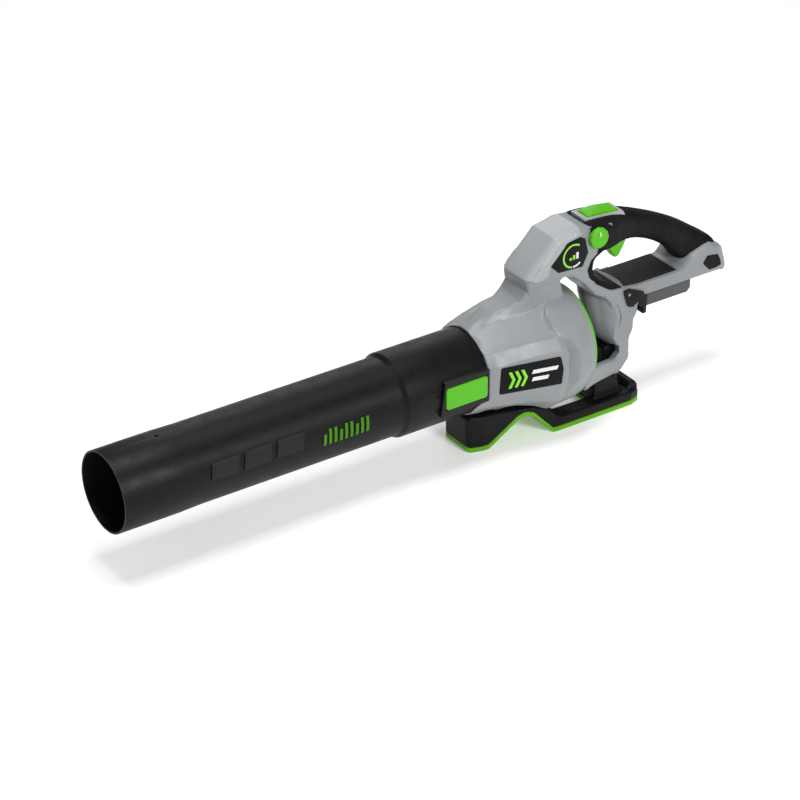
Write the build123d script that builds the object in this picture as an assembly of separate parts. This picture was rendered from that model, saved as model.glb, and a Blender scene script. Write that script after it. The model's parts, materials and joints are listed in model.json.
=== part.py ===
from build123d import *
import os

# Cordless axial leaf blower. All sizes are in millimetres.
# Working frame of the model: Y runs along the air axis from the nozzle rim (Y = 0) to the rear,
# Z = 0 is the air axis, and +X is the blower's left side. Every part is shifted to the stored
# frame when it is written: origin at the middle of the footprint on the ground, Z up.

LENGTH = 890.0
AXIS_HEIGHT = 105.0
GROUND = -AXIS_HEIGHT
TO_STORED_FRAME = Location((0, -LENGTH / 2, AXIS_HEIGHT))

# Blower tube
NOZZLE_RADIUS = 50.0
TUBE_RADIUS = 49.0
SLEEVE_RADIUS = 52.6
TUBE_WALL = 2.2
NOZZLE_COLLAR_END = 78.0
NOZZLE_DETENT_Y = 71.0
SLEEVE_START = 384.0
TUBE_END = 519.0
SPIGOT_RADIUS = 49.8
SPIGOT_START = 484.0
HOUSING_FRONT = 497.0
SLIDE_GAP = 0.35

# Fan housing
HOUSING_REAR = 643.0
HOUSING_WALL = 3.0
HOUSING_OUTLINE = [(54.6, 497), (59, 507), (63.5, 522), (68.5, 540), (73, 560), (76.5, 580), (78, 600),
                   (77, 620), (74, 634), (70.5, 643)]
HOUSING_UNDERSIDE = [(480, -54.6), (520, -58.5), (550, -61.5), (570, -64.5), (590, -72), (606, -78), (660, -78)]
INLET_RING_RADIUS = 69.0

# Fan, guide vanes and motor
DUCT_RADIUS = 57.0
DUCT_WALL = 2.4
FAN_RADIUS = 56.0
FAN_START = 611.0
FAN_END = 634.0
FAN_HUB_RADIUS = 25.0
FAN_BLADES = 11
GUIDE_VANES = 9
CAN_RADIUS = 26.0
CAN_BORE = 23.0
CAN_START = 556.0
CAN_END = 608.0
SHAFT_RADIUS = 4.0
SHAFT_CLEARANCE = 0.05
BEARING_RADIUS = 9.0

# Handle frame
FRAME_HALF_WIDTH = 26.0
YOKE_HALF_WIDTH = 30.0
RAIL_HALF_WIDTH = 29.0
FRAME_WALL = 3.0
GRIP_HALF_WIDTH = 17.0
CORE_HALF_WIDTH = 13.5

# Controls
TRIGGER_PIVOT = (709.0, 123.0)
TRIGGER_HALF_WIDTH = 7.0
DIAL_CENTRE = (674.0, 137.0)
DIAL_RADIUS = 13.5
TURBO_HALF_WIDTH = 10.0
LATCH_PIVOT = (722.0, 46.0)
LATCH_SIDE = 30.5
EJECTOR_Z = 0.0

# Base
SOLE_THICKNESS = 6.5


def write(name, shape):
    """Write one piece, moved to the stored frame."""
    export_step(TO_STORED_FRAME * shape, f"parts/{name}.step")


def outline(points, radius=0.0):
    """A flat face in the side view, from (y, z) points, with rounded corners."""
    face = make_face(Polyline(*points, close=True))
    return fillet(face.vertices(), radius) if radius else face


def slab(points, half_width, radius=0.0):
    """A plate of the given side outline, centred on the middle plane."""
    return extrude(Plane.YZ * outline(points, radius), amount=half_width, both=True)


def side_plate(points, x_low, x_high, radius=0.0):
    """A plate of the given side outline between two distances from the middle plane."""
    plane = Plane.YZ.offset(x_low)
    return extrude(plane * outline(points, radius), amount=x_high - x_low)


def turned(points):
    """A solid turned about the air axis, from (radius, y) points."""
    return revolve(make_face(Polyline(*points, close=True)), Axis.Y)


def rod(radius, start, end, x=0.0, z=0.0):
    """A round bar along Y."""
    middle = (start + end) / 2
    return Location((x, middle, z), (90, 0, 0)) * Cylinder(radius, end - start)


def cross_rod(radius, x_low, x_high, y, z):
    """A round bar along X."""
    middle = (x_low + x_high) / 2
    return Location((middle, y, z), (0, 90, 0)) * Cylinder(radius, x_high - x_low)


def upright(radius, low, high, x, y):
    """A round bar along Z."""
    return Location((x, y, (low + high) / 2)) * Cylinder(radius, high - low)


def block(x_low, x_high, y_low, y_high, z_low, z_high):
    """A box between two corners."""
    middle = ((x_low + x_high) / 2, (y_low + y_high) / 2, (z_low + z_high) / 2)
    return Location(middle) * Box(x_high - x_low, y_high - y_low, z_high - z_low)


def left_half(shape):
    return shape & block(0, 200, 0, LENGTH + 50, -200, 200)


def right_half(shape):
    return shape & block(-200, 0, 0, LENGTH + 50, -200, 200)


# ---------------------------------------------------------------- blower tube and its latch

BUTTON_OUTLINE = [(433, -11), (493, -11), (493, 18), (433, 18)]
BEZEL_OUTLINE = [(426, -18), (496, -18), (496, 25), (432, 25)]
BUTTON_FACE = 57.0
BEZEL_FACE = 55.5


def blower_tube():
    outer = [(NOZZLE_RADIUS, 0), (NOZZLE_RADIUS, NOZZLE_COLLAR_END), (TUBE_RADIUS, 108),
             (TUBE_RADIUS, SLEEVE_START - 6), (SLEEVE_RADIUS, SLEEVE_START), (SLEEVE_RADIUS, TUBE_END)]
    socket = SPIGOT_RADIUS + SLIDE_GAP
    inner = [(socket, TUBE_END), (socket, SPIGOT_START - 4), (SPIGOT_RADIUS - DUCT_WALL, SPIGOT_START - 7),
             (SPIGOT_RADIUS - DUCT_WALL, SLEEVE_START), (TUBE_RADIUS - TUBE_WALL, SLEEVE_START - 14),
             (TUBE_RADIUS - TUBE_WALL, 108), (NOZZLE_RADIUS - TUBE_WALL, NOZZLE_COLLAR_END),
             (NOZZLE_RADIUS - TUBE_WALL, 0)]
    tube = turned(outer + inner)
    detent = upright(2.2, 40, 60, 0, NOZZLE_DETENT_Y)
    return tube - latch_bezel_envelope() - latch_pocket() - detent


def latch_bezel_envelope():
    return side_plate(BEZEL_OUTLINE, 44, BEZEL_FACE) - rod(SLEEVE_RADIUS, 400, 520)


def latch_pocket():
    """The recess in the sleeve wall that the button sinks into, deeper where its spring sits."""
    shallow = block(51, 60, 432.6, 493.4, -11.4, 18.4)
    return shallow + block(48.6, 60, 438, 479, -9, 16)


def latch_bezel():
    bezel = latch_bezel_envelope() - side_plate(
        [(432.6, -11.4), (493.4, -11.4), (493.4, 18.4), (432.6, 18.4)], 40, 60)
    return bezel


def release_button():
    """The button cap and the boss behind it that bears on its spring."""
    cap = side_plate(BUTTON_OUTLINE, 53.4, BUTTON_FACE, 4)
    return cap + block(51.2, 53.4, 440, 477, -7, 14)


def release_spring():
    return cross_rod(3.5, 48.6, 51.2, 463, 3.5)


# ---------------------------------------------------------------- fan housing and duct

def housing_solid():
    """The whole fan housing filled in, used to trim what meets it."""
    return turned([(0, 497)] + HOUSING_OUTLINE + [(0, 643)]) & above_underside()


def above_underside(wall=0.0):
    """The space above the housing's flattened belly, drawn in by a wall thickness."""
    belly = [(y, z + wall) for y, z in HOUSING_UNDERSIDE]
    return slab(belly + [(660, 120), (480, 120)], 120)


def housing_shell():
    cavity = [(radius - HOUSING_WALL, y) for radius, y in reversed(HOUSING_OUTLINE[3:])]
    cavity += [(60.5, 526), (0, 526), (0, HOUSING_REAR)]
    shell = housing_solid() - (turned(cavity) & above_underside(HOUSING_WALL))
    return shell - rod(SLEEVE_RADIUS + SLIDE_GAP, 490, 530)


def label_pad(side):
    """The dark plate on each flank, laid against the flared wall."""
    face = [(507, -13), (598, -14), (598, 21), (512, 26), (507, 22)]
    plate = side_plate(face, 56, 80, 3) & label_skin()
    return plate if side > 0 else mirror(plate, about=Plane.YZ)


def label_skin():
    outer = [(radius + 1.2, y) for radius, y in HOUSING_OUTLINE[1:7]]
    inner = [(radius, y) for radius, y in reversed(HOUSING_OUTLINE[1:7])]
    return turned(outer + inner)


def duct_liner():
    """Spigot for the tube, diffuser, fan duct and bellmouth in one moulding."""
    bore = SPIGOT_RADIUS - DUCT_WALL
    inner = [(bore, SPIGOT_START), (bore, 530), (DUCT_RADIUS, 576), (DUCT_RADIUS, 637), (60.5, 643)]
    outer = [(63.5, 643), (DUCT_RADIUS + DUCT_WALL, 636), (DUCT_RADIUS + DUCT_WALL, 576),
             (SPIGOT_RADIUS, 530), (SPIGOT_RADIUS, SPIGOT_START)]
    liner = turned(inner + outer)
    flange = turned([(DUCT_RADIUS + 1.9, 600), (74.5, 600), (74.5, 603), (DUCT_RADIUS + 1.9, 603)])
    return liner + (flange & above_underside(HOUSING_WALL))


def inlet_ring():
    return turned([(62.5, 643), (INLET_RING_RADIUS, 643), (INLET_RING_RADIUS, 645.5), (67.4, 648),
                   (64.5, 648), (62.5, 646)])


def inlet_guard():
    """Grille across the air inlet: three hoops and eight spokes."""
    guard = turned([(58.5, 643.2), (62.4, 643.2), (62.4, 646), (58.5, 646)])
    for radius in (20.0, 33.0, 46.0):
        guard += turned([(radius - 1, 643.2), (radius + 1, 643.2), (radius + 1, 646), (radius - 1, 646)])
    for index in range(8):
        spoke = block(-1, 1, 643.2, 646, 19.5, 60)
        guard += Rot(0, index * 45 + 22.5, 0) * spoke
    return guard


def guide_vanes():
    """Motor can, end webs and the fixed vanes that carry it in the duct."""
    can = turned([(CAN_BORE, CAN_START + 6), (CAN_BORE, CAN_END - 4), (BEARING_RADIUS, CAN_END - 4),
                  (BEARING_RADIUS, CAN_END), (CAN_RADIUS, CAN_END), (CAN_RADIUS, CAN_START),
                  (BEARING_RADIUS, CAN_START), (BEARING_RADIUS, CAN_START + 6)])
    ring = rod(DUCT_RADIUS, 578, 604) - rod(CAN_RADIUS - 0.5, 570, 610)
    vane = Location((0, 591, 42), (0, 0, 18)) * Box(1.8, 23, 34)
    for index in range(GUIDE_VANES):
        can += (Rot(0, index * 360 / GUIDE_VANES, 0) * vane) & ring
    return can


def tail_cone():
    outer = [(CAN_RADIUS, CAN_START), (24.5, 540), (20, 522), (13, 507), (0, 497)]
    inner = [(0, 500), (11.5, 509), (18, 523.5), (22.5, 541), (23.5, CAN_START)]
    return turned(outer + inner)


def motor_stator():
    core = turned([(15.2, 571), (CAN_BORE, 571), (CAN_BORE, 596), (15.2, 596)])
    winding = turned([(16.5, 565), (21.5, 565), (21.5, 571), (16.5, 571)])
    rear_winding = turned([(16.5, 596), (21.5, 596), (21.5, 601), (16.5, 601)])
    return core + winding + rear_winding


def magnet_rotor():
    return turned([(SHAFT_RADIUS, 570), (14.4, 570), (14.4, 597), (SHAFT_RADIUS, 597)])


def motor_shaft():
    return rod(SHAFT_RADIUS, 557, 636)


def bearing(start, end):
    bore = SHAFT_RADIUS + SHAFT_CLEARANCE
    return turned([(bore, start), (BEARING_RADIUS, start), (BEARING_RADIUS, end), (bore, end)])


def fan():
    """Axial fan: hub with a domed nose to the inlet and twisted blades."""
    hub = turned([(SHAFT_RADIUS, FAN_START), (FAN_HUB_RADIUS, FAN_START), (FAN_HUB_RADIUS, FAN_END),
                  (20, 638), (10, 641), (0, 641), (0, 636), (SHAFT_RADIUS, 636)])
    annulus = rod(FAN_RADIUS, FAN_START + 1, FAN_END - 1) - rod(FAN_HUB_RADIUS - 1.5, 600, 640)
    blade = Location((0, 622.5, 40), (0, 0, 52)) * Box(2.2, 30, 40)
    for index in range(FAN_BLADES):
        hub += (Rot(0, (index + 0.5) * 360 / FAN_BLADES, 0) * blade) & annulus
    return hub


# ---------------------------------------------------------------- handle frame, grip and rail

STEM_OUTLINE = [(578, 60), (567, 104), (614, 149), (650, 157), (702, 150), (697, 112), (697, 53),
                (684, 72), (652, 72), (645, 66)]
YOKE_OUTLINE = [(684, 72), (689, 40), (694, 11), (707, -17), (713, -28), (699, -44), (688, -48),
                (680, -70), (704, -66), (718, -55), (727, -43), (726, -12), (733, -5), (733, 7), (739, 15),
                (740, 53), (697, 53)]
RAIL_OUTLINE = [(697, 36), (873, 36), (888, 28), (890, 40), (884, 57), (866, 73), (838, 70), (804, 53),
                (697, 53)]
CORE_OUTLINE = [(690, 118), (690, 148), (719, 148), (760, 134.5), (800, 116), (841, 90), (866, 70),
                (838, 68), (808, 56), (811, 68), (801, 82), (783, 94), (762, 104), (740, 113.5), (712, 114.5)]
GRIP_OUTLINE = [(664, 157), (668, 157.5), (719, 152), (760, 138), (800, 119.5), (841, 93), (868, 73),
                (872, 66), (840, 60), (803, 48), (807, 66), (798, 79), (781, 90), (761, 100.5), (740, 110),
                (712, 111), (685, 111), (664, 120)]
GRIP_SECTION = [(GRIP_HALF_WIDTH, 6.0), (GRIP_HALF_WIDTH - 2, 2.5), (GRIP_HALF_WIDTH - 5, 0)]
STEM_SKIN_OUTLINE = [(690, 116), (705, 111.5), (700, 104), (699.5, 62), (697, 55), (690, 55)]
SHIELD_OUTLINE = [(562, 103), (611, 152.5), (650, 160), (652, 148), (627, 144), (600, 118), (592, 102)]
DISPLAY_OUTLINE = [(604, 118), (627, 141), (649, 144), (655, 141), (661, 120), (653, 103), (617, 105)]


def inset(points, wall):
    """A side outline drawn in by a wall thickness."""
    return offset(make_face(Polyline(*points, close=True)), amount=-wall, kind=Kind.INTERSECTION)


def inner_slab(points, half_width, wall=FRAME_WALL):
    return extrude(Plane.YZ * inset(points, wall), amount=half_width - wall, both=True)


def arm(side):
    """One lower strut from the foot of the yoke out to the housing's rear edge."""
    profile = Plane.XZ.offset(-705) * Location((24 * side, -56)) * Rectangle(9, 20)
    end = Plane.XZ.offset(-640) * Location((50 * side, -48)) * Rectangle(9, 22)
    return loft([profile.face(), end.face()])


def handle_outer():
    stem = slab(STEM_OUTLINE, FRAME_HALF_WIDTH)
    yoke = slab(YOKE_OUTLINE, YOKE_HALF_WIDTH)
    rail = slab(RAIL_OUTLINE, RAIL_HALF_WIDTH)
    core = slab(CORE_OUTLINE, CORE_HALF_WIDTH)
    return stem + yoke + rail + core + arm(1) + arm(-1)


def handle_cavity():
    stem = inner_slab(STEM_OUTLINE, FRAME_HALF_WIDTH)
    yoke = inner_slab(YOKE_OUTLINE, YOKE_HALF_WIDTH)
    rail = inner_slab(RAIL_OUTLINE, RAIL_HALF_WIDTH)
    core = slab([(700, 116), (704, 144), (718, 144), (758, 131), (778, 122), (770, 108), (740, 116)],
                CORE_HALF_WIDTH - FRAME_WALL)
    joins = block(-20, 20, 688, 702, 56, 70) + block(-9, 9, 690, 706, 118, 142)
    return stem + yoke + rail + core + joins


SCREW_PLACES = [(592, 92), (626, 88), (688, 90), (722, -30), (762, 44.5), (815, 46), (868, 50), (790, 108)]
SCREW_HALF_LENGTH = [22, 22, 22, 26, 26, 25, 25, 10]


def screw(y, z, half_length):
    """A screw driven from the right side, its head sunk in the right half."""
    body = cross_rod(1.5, -half_length, 8, y, z)
    head = cross_rod(3.2, -half_length - 2, -half_length, y, z)
    return body + head


def frame_screws():
    screws = [screw(y, z, length) for (y, z), length in zip(SCREW_PLACES, SCREW_HALF_LENGTH)]
    return Compound(children=screws)


def screw_bosses():
    bosses = None
    for (y, z), length in zip(SCREW_PLACES, SCREW_HALF_LENGTH):
        boss = cross_rod(4.2, -length - 2, length + 2, y, z)
        bosses = boss if bosses is None else bosses + boss
    return bosses


def handle_frame():
    """Stem, grip core, battery rail and rear yoke as one hollow clamshell, before it is split."""
    frame = handle_outer() - handle_cavity() + screw_bosses()
    frame -= housing_solid() + turned([(0, 640), (70, 640), (70, 650), (0, 650)])
    frame -= frame_screw_holes()
    frame -= control_openings() + trigger_pin()
    return frame


def frame_screw_holes():
    holes = None
    for (y, z), length in zip(SCREW_PLACES, SCREW_HALF_LENGTH):
        hole = cross_rod(1.5, -length, 8, y, z) + cross_rod(3.2, -45, -length, y, z)
        holes = hole if holes is None else holes + hole
    return holes


def control_openings():
    """Room for the trigger, dial, turbo button, display, latch and ejector."""
    trigger_slot = block(-7.6, 7.6, 699, 742, 96, 129)
    dial_bore = cross_rod(3.06, 10, 40, *DIAL_CENTRE)
    turbo_slot = block(-TURBO_HALF_WIDTH - 0.5, TURBO_HALF_WIDTH + 0.5, 671, 718, 141, 165)
    display_recess = side_plate(DISPLAY_OUTLINE, FRAME_HALF_WIDTH - 1.5, 40)
    ejector_bore = rod(6.4, 725, 750, 0, EJECTOR_Z)
    terminal_slot = block(-14, 14, 730, 745, 23.5, 34.5)
    return trigger_slot + dial_bore + turbo_slot + display_recess + ejector_bore + terminal_slot


def grip_overmould():
    """Soft black skin round the grip and down the back of the stem."""
    skin = slab(STEM_SKIN_OUTLINE, GRIP_HALF_WIDTH - 4)
    for half_width, drawn_in in GRIP_SECTION:
        face = inset(GRIP_OUTLINE, drawn_in) if drawn_in else outline(GRIP_OUTLINE)
        skin += extrude(Plane.YZ * face, amount=half_width, both=True)
    skin -= handle_outer()
    skin -= control_openings() + turbo_bezel_envelope() + shield_envelope()
    return skin - cross_rod(3.3, -45, 0, 790, 108)


def shield_envelope():
    return slab(SHIELD_OUTLINE, FRAME_HALF_WIDTH + 2.5)


def stem_shield():
    """Pale cover over the front and top of the stem."""
    return shield_envelope() - slab(STEM_OUTLINE, FRAME_HALF_WIDTH) - housing_solid()


def turbo_bezel_envelope():
    return slab([(664, 151), (664, 158), (722, 153.5), (726, 146)], TURBO_HALF_WIDTH + 4)


def turbo_bezel():
    opening = block(-TURBO_HALF_WIDTH - 0.5, TURBO_HALF_WIDTH + 0.5, 670.4, 718.6, 140, 165)
    return turbo_bezel_envelope() - handle_outer() - opening


def turbo_button():
    cap = slab([(671, 146), (671, 160), (690, 161), (716, 157), (718, 146)], TURBO_HALF_WIDTH)
    return cap


def turbo_spring():
    return upright(3.0, 142.5, 146, 0, 694)


def turbo_switch():
    return block(-5, 5, 686, 702, 137.5, 142.5)


def display_lens():
    return side_plate(inset_points(DISPLAY_OUTLINE), FRAME_HALF_WIDTH - 1.5, FRAME_HALF_WIDTH + 1.2)


def inset_points(points, scale=0.985):
    """The same outline shrunk slightly about its middle, for an assembly gap."""
    middle_y = sum(y for y, z in points) / len(points)
    middle_z = sum(z for y, z in points) / len(points)
    return [(middle_y + (y - middle_y) * scale, middle_z + (z - middle_z) * scale) for y, z in points]


def display_board():
    return block(19, 21, 612, 652, 106, 138)


def cruise_dial():
    """Side knob with its spindle, which turns in the frame."""
    knob = cross_rod(DIAL_RADIUS, FRAME_HALF_WIDTH + 0.4, FRAME_HALF_WIDTH + 7.5, *DIAL_CENTRE)
    knob = fillet(knob.edges().sort_by(Axis.X)[-1], 2)
    return knob + cross_rod(3.0, 15, FRAME_HALF_WIDTH + 1, *DIAL_CENTRE)


def dial_sensor():
    y, z = DIAL_CENTRE
    return block(8, 14.6, y - 8, y + 8, z - 8, z + 6)


def trigger():
    """Finger lever with a round eye for its pin."""
    lever = slab([(703, 112), (704, 122), (712, 127), (734, 118), (736, 111), (733, 103), (723, 87),
                  (718, 87), (708, 103)], TRIGGER_HALF_WIDTH)
    return lever - cross_rod(2.05, -20, 20, *TRIGGER_PIVOT)


def trigger_pin():
    return cross_rod(2.0, -CORE_HALF_WIDTH, CORE_HALF_WIDTH, *TRIGGER_PIVOT)


def trigger_spring():
    return upright(2.5, 121.5, 130.5, 0, 728)


def trigger_switch():
    return block(-6.5, 6.5, 714, 735, 130.5, 137)


def rail_cover():
    """Dark inlay along the top of the rail, below the fingers."""
    return slab([(702, 53), (702, 55.5), (797, 55.5), (802, 53)], 25)


def battery_guide():
    """Darker channel under the rail that the battery's ears slide along."""
    body = slab([(754, 19), (754, 36), (822, 36), (822, 24), (817, 19)], 28)
    channel = block(-19, 19, 750, 830, 15, 31)
    return body - channel


def terminal_block():
    return block(-13.5, 13.5, 728, 752, 24, 34)


def terminal_blades():
    blades = [block(x - 0.5, x + 0.5, 752, 768, 25, 30.5) for x in (-9, -3, 3, 9)]
    return Compound(children=blades)


def battery_latch():
    """Black release latch: a plate on each flank joined by a bar across the battery bay."""
    cheek = [(714, 52), (722, 54), (744, 44), (750, 30), (746, 22), (740, 24), (736, 33), (728, 27),
             (721, 30), (717, 42)]
    plates = side_plate(cheek, LATCH_SIDE, LATCH_SIDE + 3) + side_plate(cheek, -LATCH_SIDE - 3, -LATCH_SIDE)
    bar = block(-LATCH_SIDE - 0.5, LATCH_SIDE + 0.5, 743.5, 749, 13.5, 19)
    legs = block(LATCH_SIDE, LATCH_SIDE + 3, 743.5, 749, 13.5, 24)
    legs += block(-LATCH_SIDE - 3, -LATCH_SIDE, 743.5, 749, 13.5, 24)
    return plates + bar + legs - cross_rod(2.05, -50, 50, *LATCH_PIVOT)


def latch_pins():
    """Two short pins that stand out of the yoke's flanks."""
    pins = [cross_rod(2.0, side * YOKE_HALF_WIDTH, side * (LATCH_SIDE + 3), *LATCH_PIVOT) if side > 0
            else cross_rod(2.0, -LATCH_SIDE - 3, -YOKE_HALF_WIDTH, *LATCH_PIVOT) for side in (1, -1)]
    return Compound(children=pins)


def ejector():
    stem = rod(6.0, 722, 744, 0, EJECTOR_Z)
    collar = rod(9.0, 721, 724, 0, EJECTOR_Z)
    return stem + collar


def ejector_spring():
    return rod(5.0, 707, 721, 0, EJECTOR_Z)


def controller_board():
    return block(-18, 18, 700, 702, 10, 46)


def heat_sink():
    sink = block(-15, 15, 702, 705, 14, 42)
    for index in range(6):
        x = -14 + index * 5.2
        sink += block(x, x + 1.5, 705, 713, 14, 42)
    return sink


def rear_badges():
    """A small dark plate on each flank of the rail's rear end."""
    face = [(846, 41), (874, 43), (876, 58), (850, 60)]
    plates = [side_plate(face, RAIL_HALF_WIDTH, RAIL_HALF_WIDTH + 0.8),
              side_plate(face, -RAIL_HALF_WIDTH - 0.8, -RAIL_HALF_WIDTH)]
    return Compound(children=plates)


# ---------------------------------------------------------------- base

SOLE_LINE = [(492, GROUND), (515, GROUND), (556, -77), (567, -74), (578, -77), (604, GROUND), (738, GROUND)]
SKID_TOP = [(740, -94), (735, -86), (726, -85), (717, -82), (711, -70), (681, -73), (678, -82), (612, -84),
            (596, -70), (580, -64), (545, -60), (528, -58), (493, -56)]
PLAN_OUTLINE = [(17, 489), (26, 506), (31, 560), (44, 606), (44, 722), (36, 741)]
OPENING_HALF_WIDTH = 21.0


def plan_block(inset_by=0.0):
    """The base's outline seen from above, as a tall block with its open middle cut out."""
    right = [(x - inset_by, y) for x, y in PLAN_OUTLINE]
    left = [(-x, y) for x, y in reversed(right)]
    face = make_face(Polyline(*right, *left, close=True))
    tall = Location((0, 0, -150)) * extrude(face, amount=120)
    return tall - block(-OPENING_HALF_WIDTH, OPENING_HALF_WIDTH, 612, 680, -150, -40)


def base_sole():
    """Green sole that follows the foot, the hollow and the long rear runners."""
    upper = [(y, z + SOLE_THICKNESS) for y, z in reversed(SOLE_LINE)]
    return (slab(SOLE_LINE + upper, 60) & plan_block()) - base_screw_holes()


def base_skid():
    lower = [(y, z + SOLE_THICKNESS) for y, z in SOLE_LINE]
    skid = slab(lower + SKID_TOP, 60) & plan_block()
    post_sides = block(28, 60, 676, 722, -80, -60) + block(-60, -28, 676, 722, -80, -60)
    skid -= post_sides + housing_solid() + arm(1) + arm(-1) + slab(YOKE_OUTLINE, YOKE_HALF_WIDTH)
    return skid - base_screw_holes()


BASE_SCREWS = [(12, 504), (-12, 504), (22, 697), (-22, 697)]


def base_screws():
    """Four screws from below, heads sunk into the sole."""
    screws = [upright(1.5, -99, -78, x, y) + upright(3.4, -101.5, -99, x, y) for x, y in BASE_SCREWS]
    return Compound(children=screws)


def base_screw_holes():
    holes = None
    for x, y in BASE_SCREWS:
        hole = upright(1.5, -100, -78, x, y) + upright(3.4, -110, -99, x, y)
        holes = hole if holes is None else holes + hole
    return holes


# ---------------------------------------------------------------- output

def main():
    os.makedirs("parts", exist_ok=True)
    shell = housing_shell()
    write("fan_housing_left", left_half(shell))
    write("fan_housing_right", right_half(shell))
    write("label_plate_left", label_pad(1))
    write("label_plate_right", label_pad(-1))
    write("duct_liner", duct_liner())
    write("inlet_ring", inlet_ring())
    write("inlet_guard", inlet_guard())
    write("guide_vanes", guide_vanes())
    write("tail_cone", tail_cone())
    write("motor_stator", motor_stator())
    write("front_bearing", bearing(CAN_START, CAN_START + 6))
    write("rear_bearing", bearing(CAN_END - 4, CAN_END))
    write("motor_shaft", motor_shaft())
    write("magnet_rotor", magnet_rotor())
    write("fan", fan())

    frame = handle_frame()
    write("handle_frame_left", left_half(frame))
    write("handle_frame_right", right_half(frame))
    write("frame_screws", frame_screws())
    write("stem_shield", stem_shield())
    write("grip_overmould", grip_overmould())
    write("rail_cover", rail_cover())
    write("battery_guide", battery_guide())
    write("terminal_block", terminal_block())
    write("terminal_blades", terminal_blades())
    write("rear_badges", rear_badges())
    write("controller_board", controller_board())
    write("heat_sink", heat_sink())

    write("trigger", trigger())
    write("trigger_pin", trigger_pin())
    write("trigger_spring", trigger_spring())
    write("trigger_switch", trigger_switch())
    write("turbo_bezel", turbo_bezel())
    write("turbo_button", turbo_button())
    write("turbo_spring", turbo_spring())
    write("turbo_switch", turbo_switch())
    write("display_lens", display_lens())
    write("display_board", display_board())
    write("cruise_dial", cruise_dial())
    write("dial_sensor", dial_sensor())
    write("battery_latch", battery_latch())
    write("latch_pins", latch_pins())
    write("ejector", ejector())
    write("ejector_spring", ejector_spring())

    write("base_skid", base_skid())
    write("base_sole", base_sole())
    write("base_screws", base_screws())

    write("blower_tube", blower_tube())
    write("latch_bezel", latch_bezel())
    write("release_button", release_button())
    write("release_spring", release_spring())


main()
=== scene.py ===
import bpy
import bmesh
import json
import math
import numpy as np
from mathutils import Matrix, Vector

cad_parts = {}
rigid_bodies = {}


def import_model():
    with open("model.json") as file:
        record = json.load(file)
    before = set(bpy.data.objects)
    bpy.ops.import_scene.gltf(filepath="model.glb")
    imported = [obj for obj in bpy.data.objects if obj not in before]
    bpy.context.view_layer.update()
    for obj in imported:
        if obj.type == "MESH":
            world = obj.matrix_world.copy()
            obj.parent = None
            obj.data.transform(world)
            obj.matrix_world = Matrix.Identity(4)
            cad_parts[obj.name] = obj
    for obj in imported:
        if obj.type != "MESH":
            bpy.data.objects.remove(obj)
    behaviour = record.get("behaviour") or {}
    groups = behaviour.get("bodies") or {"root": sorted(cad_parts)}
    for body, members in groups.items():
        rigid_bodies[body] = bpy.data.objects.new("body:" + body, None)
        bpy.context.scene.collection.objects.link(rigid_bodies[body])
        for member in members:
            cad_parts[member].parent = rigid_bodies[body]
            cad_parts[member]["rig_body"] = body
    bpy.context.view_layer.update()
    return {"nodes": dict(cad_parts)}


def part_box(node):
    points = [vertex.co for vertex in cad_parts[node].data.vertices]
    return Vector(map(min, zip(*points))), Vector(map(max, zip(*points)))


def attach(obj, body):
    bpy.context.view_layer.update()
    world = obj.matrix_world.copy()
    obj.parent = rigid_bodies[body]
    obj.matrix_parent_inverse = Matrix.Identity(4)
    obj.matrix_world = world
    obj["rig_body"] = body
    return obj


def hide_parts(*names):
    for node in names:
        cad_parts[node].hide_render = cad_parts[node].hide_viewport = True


# Cordless leaf blower. Sizes below are millimetres from the air axis: y runs from the nozzle rim
# to the rear, z is up from the axis and +x is the blower's left. at() turns them into frame metres.

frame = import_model()

MM = 0.001
tube_low, tube_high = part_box("blower_tube")
NOZZLE_Y = tube_low.y
AXIS_Z = (tube_low.z + tube_high.z) / 2


def at(x, y, z):
    """A point in frame metres from millimetres."""
    return Vector((x * MM, NOZZLE_Y + y * MM, AXIS_Z + z * MM))


def span(node):
    """A CAD node's lowest and highest corners in millimetres from the air axis."""
    low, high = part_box(node)
    shift = Vector((0, NOZZLE_Y, AXIS_Z))
    return (low - shift) / MM, (high - shift) / MM


GROUND = -AXIS_Z / MM
HOUSING_REAR = span("fan_housing_left")[1].y
FRAME_SIDE = 26.0
YOKE_SIDE = 30.0
RAIL_SIDE = 29.0
DIAL_CENTRE = (674, 137)


# ---------------------------------------------------------------- materials

def linear(colour):
    """sRGB 0-255 to linear RGBA."""
    values = [((c / 255 + 0.055) / 1.055) ** 2.4 if c > 10 else c / 255 / 12.92 for c in colour]
    return (*values, 1.0)


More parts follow.
